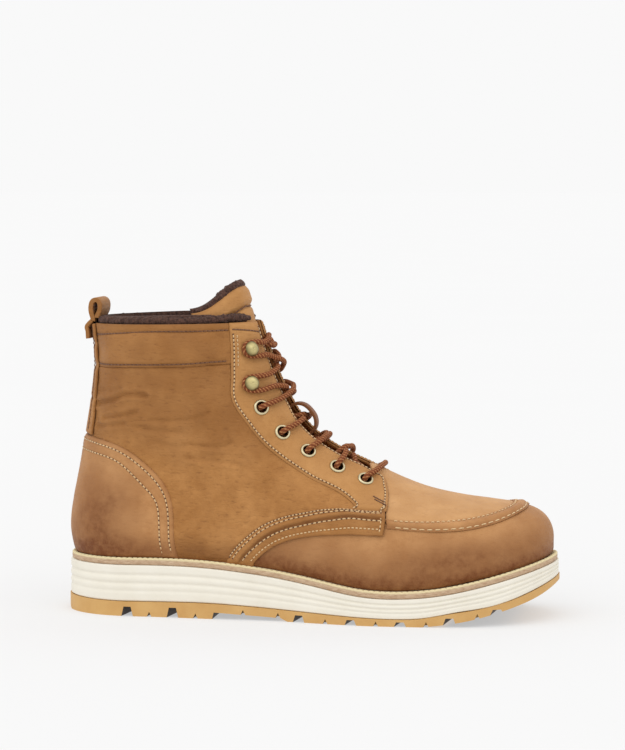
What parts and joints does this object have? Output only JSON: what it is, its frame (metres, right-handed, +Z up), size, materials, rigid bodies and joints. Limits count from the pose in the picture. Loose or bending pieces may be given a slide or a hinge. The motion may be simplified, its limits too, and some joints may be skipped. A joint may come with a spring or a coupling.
{
  "type": "lace-up boot",
  "caption": "Lined ankle-high lace-up field boot with moc toe, welted wedge sole, padded collar, eyelets, lace hooks and a pull loop.",
  "frame": {"origin": "centre of the boot's footprint box, on the ground", "axes": "+X heel to toe, +Y to the wearer's left (medial side of this right boot), +Z up"},
  "size_m": [0.3082, 0.1132, 0.2058],
  "materials": {
    "gum_rubber": "matte gum rubber",
    "midsole_foam": "matte cream moulded foam",
    "welt_leather": "matte raw leather",
    "fibreboard": "matte",
    "cork": "matte granulated cork",
    "steel": "brushed",
    "footbed_fabric": "short pile",
    "tan_leather": "satin nubuck-like oiled leather",
    "vamp_leather": "satin oiled leather, burnished dark at its edges",
    "apron_leather": "satin oiled leather",
    "foam": "matte",
    "fleece": "deep curly pile",
    "antique_brass": "antique satin",
    "lace_cord": "round braid",
    "tip_plastic": "gloss",
    "keeper_leather": "satin"
  },
  "bodies": {
    "boot": {"outsole": "gum_rubber", "midsole": "midsole_foam", "welt": "welt_leather", "insole_board": "fibreboard", "bottom_filler": "cork", "shank": "steel", "footbed": "footbed_fabric", "vamp": "vamp_leather", "apron": "apron_leather", "moc_seam_strip": "vamp_leather", "quarter_lateral": "tan_leather", "quarter_medial": "tan_leather", "facing_lateral": "tan_leather", "facing_medial": "tan_leather", "facing_backer_lateral": "tan_leather", "facing_backer_medial": "tan_leather", "side_band_lateral": "tan_leather", "side_band_medial": "tan_leather", "heel_counter": "vamp_leather", "back_strip": "tan_leather", "collar_lateral": "tan_leather", "collar_medial": "tan_leather", "collar_foam_lateral": "foam", "collar_foam_medial": "foam", "heel_stiffener": "fibreboard", "toe_puff": "fibreboard", "shaft_lining": "fleece", "vamp_lining": "fleece", "eyelets_lateral": "antique_brass", "eyelets_medial": "antique_brass", "lace_hooks_lateral": "antique_brass", "lace_hooks_medial": "antique_brass", "lace": "lace_cord", "lace_tips": "tip_plastic", "lace_keeper": "keeper_leather"},
    "tongue": {"tongue": "tan_leather", "tongue_lining": "fleece"},
    "pull_loop": {"pull_loop": "tan_leather"}
  },
  "joints": [
    {"name": "tongue_hinge", "type": "hinge", "parent": "boot", "child": "tongue", "pos_m": [0.052, 0, 0.079], "axis": [0, -1, 0], "range_deg": [0, 6]},
    {"name": "pull_loop_hinge", "type": "hinge", "parent": "boot", "child": "pull_loop", "pos_m": [-0.1372, 0, 0.181], "axis": [0, -1, 0], "range_deg": [0, 35]}
  ]
}
